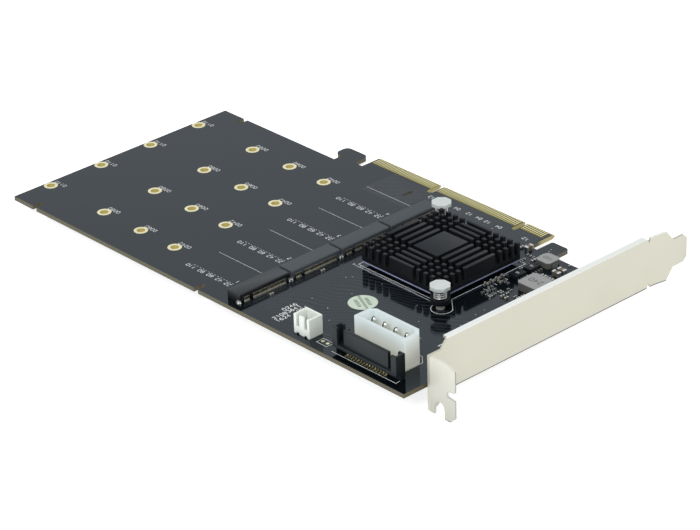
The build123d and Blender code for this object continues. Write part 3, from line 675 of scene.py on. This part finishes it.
# Strokes of each figure on a grid 4 wide and 6 high
FIGURES = {
    "0": [[(0, 1), (0, 5), (1, 6), (3, 6), (4, 5), (4, 1), (3, 0), (1, 0), (0, 1)]],
    "1": [[(1, 5), (2.4, 6), (2.4, 0)]],
    "2": [[(0, 5), (1, 6), (3, 6), (4, 5), (4, 3.8), (0, 0), (4, 0)]],
    "3": [[(0, 5.4), (1, 6), (3, 6), (4, 5), (4, 4), (3, 3.2), (4, 2.3), (4, 1), (3, 0), (1, 0), (0, 0.6)]],
    "4": [[(3, 0), (3, 6), (0, 2), (4, 2)]],
    "6": [[(3.6, 6), (1.6, 5.4), (0, 3.4), (0, 1), (1, 0), (3, 0), (4, 1), (4, 2.4), (3, 3.4), (0.4, 3)]],
    "8": [[(1, 3.2), (0, 4), (0, 5), (1, 6), (3, 6), (4, 5), (4, 4), (3, 3.2),
           (1, 3.2), (0, 2.2), (0, 1), (1, 0), (3, 0), (4, 1), (4, 2.2), (3, 3.2)]],
}


def figures(text, corner, height, turn, stroke):
    """Plain numbers as strokes, from the corner along the turned baseline; a blank leaves a gap."""
    unit = height / 6
    c, s = math.cos(math.radians(turn)), math.sin(math.radians(turn))
    marks = []
    for place, digit in enumerate(text):
        for path in FIGURES.get(digit, []):
            local = np.array(path, float) * unit + [place * unit * 6.2, 0]
            turned_path = local @ np.array([[c, s], [-s, c]]) + corner
            marks.append(ribbon(turned_path, stroke))
    return marks


def arc(centre, radius, start, end, steps):
    """Points of a circle's arc, angles in degrees."""
    t = np.radians(np.linspace(start, end, steps))
    return [(centre[0] + radius * math.cos(v), centre[1] + radius * math.sin(v)) for v in t]


def make_print(finish):
    """All the white ink on the board's top face as flat strokes just above it."""
    marks = make_bay_marks()
    front_x, front_y = PUSH_PINS["front"]
    rear_x, rear_y = PUSH_PINS["rear"]
    left, right, bottom, top = -19.2, 20.8, -61.6, -22.4
    rule, fine_rule = 0.2, 0.16
    near_arc = arc((front_x + 0.8, front_y - 0.1), 3.7, 160, 390, 24)
    far_arc = arc((rear_x, rear_y), 4.0, -18, 200, 24)
    near_path = [(left, bottom), (16.9, bottom), *near_arc, (right, -57.2), (right, top)]
    marks.append(ribbon(near_path, rule))
    far_path = [(right, top), (rear_x + 4.2, top), *far_arc, (left, -27), (left, bottom)]
    marks.append(ribbon(far_path, rule))
    marks.append(ribbon([(-20.6, -61.9), (-20.6, -62.8), (16.2, -62.8)], fine_rule))
    x0, x1, y0, y1 = 20.4, 44.0, -101.3, -90.4
    disk = [(x0, y0), (x1, y0), (x1, y1 - 2.8), (x1 - 3.0, y1), (x0 + 3.0, y1), (x0, y1 - 2.8)]
    marks.append(ribbon(disk, rule, closed=True))
    marks.append(ribbon([(17.9, -108.2), (47.3, -108.0), (46.9, -103.4)], rule))
    pads = [(9.8, -107.4), (14.6, -107.4), (14.6, -104.3), (9.8, -104.3)]
    marks.append(ribbon(pads, fine_rule, closed=True))
    for x, y, text in ((-13.0, -100.6, "0246"), (-10.9, -106.8, "21083641"), (-8.8, -107.2, "1624  204")):
        marks += figures(text, (x, y), 1.5, 90, 0.26)
    for n in range(30):
        x = -17.6 + 0.9 * n
        marks.append(ribbon([(x, -62.4), (x, -61.95)], rule))
    for n, x in enumerate((-38.7, -26.1, -20.1, -15.5, -11.3, -5.9, 6.8)):
        marks += figures(("12", "04")[n % 2], (x + 2.6, -8.8), 1.4, 180, 0.22)
    for n in range(8):
        y = -44.8 + 1.7 * n
        marks.append(ribbon([(23.2, y), (24.4, y)], rule))
    marks += figures("1", (40.6, -80.0), 2.0, 180, 0.4)
    make_mesh("board_print", *joined(marks), finish, "white_nylon")


def make_part_marks(ink, pale):
    """Plain numbers on the tops of the inductors and chips, as strokes just above each top."""
    for name, texts, finish, slot in (
        ("inductor_marks", {"large_inductor": "240", "small_inductor": "100"}, ink, "chip_plastic"),
        ("chip_marks", {"regulator_chips": "18"}, pale, "white_nylon"),
    ):
        marks = []
        for node, text in texts.items():
            for low, high in solids_of(node):
                size = (high[0] - low[0]) * 0.22
                corner = (low[:2] + high[:2]) / 2 + [size * 0.5 * len(text), size * 0.5]
                lift = [0, 0, high[2] + PART_INK_HEIGHT - INK_HEIGHT]
                strokes = figures(text, corner, size, 180, size * 0.14)
                marks += [(points + lift, faces) for points, faces in strokes]
        make_mesh(name, *joined(marks), finish, slot)


def make_vias(finish):
    """Small tinned rings where tracks change layer: flat annuli beside the tracks."""
    rng = np.random.default_rng(7)
    clear_of_sink = 20.5
    parts = []
    spots = [(-37.6, y + 17.0) for y in DRIVE_ROWS]
    for _ in range(90):
        x, y = rng.uniform(-30, 50), rng.uniform(-104, -8)
        inside_sink = abs(x - SINK_X) < clear_of_sink and abs(y - SINK_Y) < clear_of_sink
        headers = 16 < x < 50 and y < -88 or x < 10 and y < -98
        if not inside_sink and not headers and not -36 < x < -24:
            spots.append((x, y))
    profile = [(0.13, 0.012), (0.14, 0.025), (0.22, 0.025), (0.24, 0.012)]
    for spot in spots:
        points, faces = turned(profile, spot, 10)
        parts.append((points, faces[:-2]))
    make_mesh("track_vias", *joined(parts), finish, "solder")


def solder_fillets(places):
    """Cone of solder at each spot: with u = z / height, r = radius * (0.45 + 0.55 (1 - u)^2)."""
    parts = []
    for x, y, radius, height in places:
        u = np.linspace(0, 1, 5)
        profile = np.column_stack([radius * (0.45 + 0.55 * (1 - u) ** 2), height * u])
        parts.append(turned(profile, (x, y), 10))
    return joined(parts)


def box(low, high):
    """Plain box between two corners."""
    (x0, y0, z0), (x1, y1, z1) = low, high
    ring = [(x0, y0), (x1, y0), (x1, y1), (x0, y1)]
    points = [(x, y, z) for z in (z0, z1) for x, y in ring]
    faces = [(3, 2, 1, 0), (4, 5, 6, 7)] + [(n, (n + 1) % 4, 4 + (n + 1) % 4, 4 + n) for n in range(4)]
    return points, faces


def make_socket_contacts(brass, metal):
    """Spring contacts down the back of each socket with their feet, and solder on its hold-down tabs."""
    back, pitch, count, half = DATUM_X + 4.2, 0.5, 37, 0.13
    key_offset, key_half = 6.1, 0.9
    feet, solder = [], []
    for number, row in enumerate(DRIVE_ROWS, start=1):
        pins = []
        for n in range(count):
            y = row + pitch * (n - (count - 1) / 2)
            if abs(y - row + key_offset) > key_half:
                pins.append(box((back - 0.02, y - half, 0.18), (back + 0.1, y + half, 1.75)))
                feet.append(box((back + 0.02, y - half, 0.0), (back + 0.62, y + half, 0.2)))
        replaced = [f"drive_socket_feet_{number}"]
        make_mesh(f"socket_contacts_{number}", *joined(pins), brass, "gold_plate", replaced)
        solder += [(back - 0.5, row + side * 11.2, 0.5, 0.4) for side in (-1, 1)]
        solder += [(back + 0.15, row + side * 10.9, 0.38, 0.8) for side in (-1, 1)]
    make_mesh("socket_contact_feet", *joined(feet), metal, "solder")
    make_mesh("hold_down_solder", *solder_fillets(solder), metal, "solder", angle=60)


def make_disk_pins(metal):
    """Round contacts of the deep header with a shoulder, a nose cone and a tail through the board."""
    tail, nose = BOARD_BOTTOM - 1.4, 10.2
    body = [(0.7, tail), (0.7, -0.1), (0.95, 0.0), (0.95, 9.0)]
    profile = body + [(0.87, 9.6), (0.6, nose - 0.1), (0.35, nose)]
    parts = [turned(profile, (DISK_PIN_X + DISK_PIN_PITCH * n, DISK_PIN_Y), 20) for n in range(4)]
    make_mesh("disk_power_contacts", *joined(parts), metal, "solder", ["disk_power_pins"], 40)


def chip_meshes(low, high, along):
    """Body and two wrapped end caps of a small part that lies along axis 0 or 1."""
    size = high - low
    cap = size[along] * 0.3
    ease = min(size) * 0.1
    inner_low, inner_high = low.copy(), high.copy()
    inner_low[along] += cap * 0.8
    inner_high[along] -= cap * 0.8
    inner_low[1 - along] += 0.02
    inner_high[1 - along] -= 0.02
    inner_high[2] -= 0.03
    near, far = high.copy(), low.copy()
    near[along] = low[along] + cap
    far[along] = high[along] - cap
    caps = [rounded_box(low, near, ease), rounded_box(far, high, ease)]
    return rounded_box(inner_low, inner_high, ease), caps


def make_small_parts(ceramic, dark, metal):
    """Capacitors and resistors with a body and two wrapped end caps, at the CAD parts' own places."""
    for node, finish, slot in (
        ("ceramic_capacitors", ceramic, "ceramic_tan"),
        ("chip_resistors", dark, "ceramic_black"),
    ):
        bodies, caps = [], []
        for low, high in solids_of(node):
            body, ends = chip_meshes(low, high, 0 if high[0] - low[0] > high[1] - low[1] else 1)
            bodies.append(body)
            caps += ends
        make_mesh(node + "_bodies", *joined(bodies), finish, slot, [node])
        make_mesh(node + "_ends", *joined(caps), metal, "solder")


def solids_of(node):
    """Lowest and highest corner in mm of each separate box in a node's mesh."""
    shell = bmesh.new()
    shell.from_mesh(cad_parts[node].data)
    bmesh.ops.remove_doubles(shell, verts=shell.verts, dist=WELD)
    left = set(shell.verts)
    boxes = []
    while left:
        group, front = set(), [left.pop()]
        while front:
            vertex = front.pop()
            group.add(vertex.co.copy().freeze())
            for edge in vertex.link_edges:
                other = edge.other_vert(vertex)
                if other in left:
                    left.remove(other)
                    front.append(other)
        points = np.array([list(v) for v in group]) / MM
        boxes.append((points.min(0), points.max(0)))
    shell.free()
    return sorted(boxes, key=lambda pair: tuple(pair[0]))


def clear_of(low, high, taken):
    """Whether a flat rectangle meets none of those that are taken."""
    return not any((low < b).all() and (high > a).all() for a, b in taken)


def make_more_parts(tan, dark, metal):
    """Rows of small parts round the inductors, left out where a CAD part already stands."""
    rng = np.random.default_rng(11)
    bodies, blacks, caps = [], [], []
    standing = ("large_inductor", "small_inductor", "regulator_chips", "regulator_leads",
                "ceramic_capacitors", "chip_resistors", "bracket", "bracket_screws")
    taken = [(low[:2] - 0.3, high[:2] + 0.3) for node in standing for low, high in solids_of(node)]
    for x0, y0, columns, rows, step_x, step_y, length, along in PART_ROWS:
        width, height = length * 0.52, length * 0.42
        for x, y in [(x0 + step_x * i, y0 + step_y * j) for i in range(columns) for j in range(rows)]:
            scale, shift = rng.uniform(0.7, 1.12), rng.uniform(-0.16, 0.16, 2)
            half = np.array([width, length] if along else [length, width]) / 2 * scale
            low, high = np.array([x, y]) + shift - half, np.array([x, y]) + shift + half
            if not clear_of(low, high, taken) or rng.random() < 0.2:
                continue
            taken.append((low - 0.1, high + 0.1))
            body, ends = chip_meshes(np.append(low, 0.0), np.append(high, height * scale), along)
            (bodies if rng.random() < 0.2 else blacks).append(body)
            caps += ends
    make_mesh("power_capacitors", *joined(bodies), tan, "ceramic_tan")
    make_mesh("power_resistors", *joined(blacks), dark, "ceramic_black")
    make_mesh("power_part_ends", *joined(caps), metal, "solder")


def make_floor():
    """Pale floor: a plane that the tab, the tongue and the board's far corner all touch."""
    def height(x, y):
        return -3.95 - 0.0199 * x + 0.0403 * y
    reach = 6000.0
    corners = [(-reach, -reach), (reach, -reach), (reach, reach), (-reach, reach)]
    mesh = bpy.data.meshes.new("floor")
    mesh.from_pydata([(x * MM, y * MM, height(x, y) * MM) for x, y in corners], [], [(0, 1, 2, 3)])
    net = Net("floor_white", Roughness=0.9, Emission_Strength=0.8)
    spot, *_ = net.place()
    cloud = net.noise(spot, 0.01, 2.0)
    white = net.blend(cloud, (0.48, 0.48, 0.48), (0.52, 0.52, 0.52))
    glow = net.blend(cloud, (0.97, 0.97, 0.97), (1.0, 1.0, 1.0))
    mesh.materials.append(net.feed(Base_Color=white, Emission_Color=glow))
    floor = bpy.data.objects.new("floor", mesh)
    bpy.context.scene.collection.objects.link(floor)


# The scene

bpy.context.scene.view_settings.view_transform = "Standard"
make_camera(
    azimuth=47.73, elevation=27.89, roll=-1.72, aim=(-12.62, -71.46, 5.92), distance=1030.45, lens=159.82
)
make_world(colour=(0.97, 0.99, 1.0), strength=0.82)
make_softbox("key_softbox", place=(0.3, -1.0, 1.1), aim=(0, -0.05, 0), size=(0.9, 0.9), power=14)
make_softbox("side_softbox", place=(1.3, -0.1, 0.5), aim=(0, -0.05, 0), size=(0.8, 0.8), power=3)

GOLD, EDGE_GOLD, TIN = gold_plate(), edge_gold(), tinned()
PRINT, PLATE, INDUCTOR, SOCKET = white_print(), bracket_plate(), inductor_grey(), socket_plastic()
WHITE = moulded("white_nylon", (0.58, 0.61, 0.56), (0.68, 0.71, 0.67), 0.34)
PIN_WHITE = pin_nylon()
BRASS = contact_brass()
COOL = (0.76, 0.90, 1.0, 1)
BLACK_SHADES = (0.002, 0.003, 0.004), (0.008, 0.010, 0.011)
BLACK = moulded("black_moulding", *BLACK_SHADES, 0.36, IOR=1.39, Specular_Tint=COOL)
CHIP_SHADES = (0.002, 0.003, 0.005), (0.008, 0.010, 0.014)
CHIP = moulded("chip_resin", *CHIP_SHADES, 0.24, IOR=1.24, Specular_Tint=COOL)
TAN = moulded("tan_ceramic", (0.075, 0.060, 0.034), (0.15, 0.122, 0.075), 0.32)
INK = moulded("dark_ink", (0.02, 0.02, 0.022), (0.05, 0.05, 0.052), 0.5)
DARK_CERAMIC = moulded("black_glaze", (0.015, 0.015, 0.016), (0.03, 0.03, 0.032), 0.25)

dress(board_lacquer(), "circuit_board")
dress(EDGE_GOLD, "edge_contacts_top", "edge_contacts_bottom")
dress(GOLD, "drive_hole_rings", "spare_pads")
dress(foot_gold(), "serial_power_contacts")
dress(TIN, "socket_hold_downs", "regulator_leads", "inductor_terminals", "fan_header_pins")
dress(CHIP, "switch_chip")
dress(thermal_blue(), "thermal_pad")
dress(label_paper(), "inspection_sticker")

eased_copy("drive_socket_1", 0.12, SOCKET)
# The other three sockets keep the plain material that the frame gives them
for n in range(2, 5):
    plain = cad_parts[f"drive_socket_{n}"].data.materials[0]
    eased_copy(f"drive_socket_{n}", 0.12, plain)
eased_copy("heatsink", 0.14, black_anodised())
eased_copy("push_pin_front", 0.18, PIN_WHITE)
eased_copy("push_pin_rear", 0.18, PIN_WHITE)
eased_copy("fan_header_housing", 0.1, WHITE)
eased_copy("disk_power_housing", 0.15, shroud_nylon())
eased_copy("serial_power_housing", 0.12, BLACK)
eased_copy("large_inductor", 0.1, INDUCTOR)
eased_copy("small_inductor", 0.1, INDUCTOR)
eased_copy("regulator_chips", 0.08, CHIP)
eased_copy("bracket", 0.14, PLATE)
eased_copy("bracket_screws", 0.12, PLATE)

make_springs(spring_wire())
make_socket_contacts(BRASS, TIN)
make_disk_pins(split_pin())
make_print(PRINT)
make_part_marks(INK, PRINT)
make_vias(TIN)
make_small_parts(TAN, DARK_CERAMIC, TIN)
make_more_parts(TAN, DARK_CERAMIC, TIN)
make_floor()
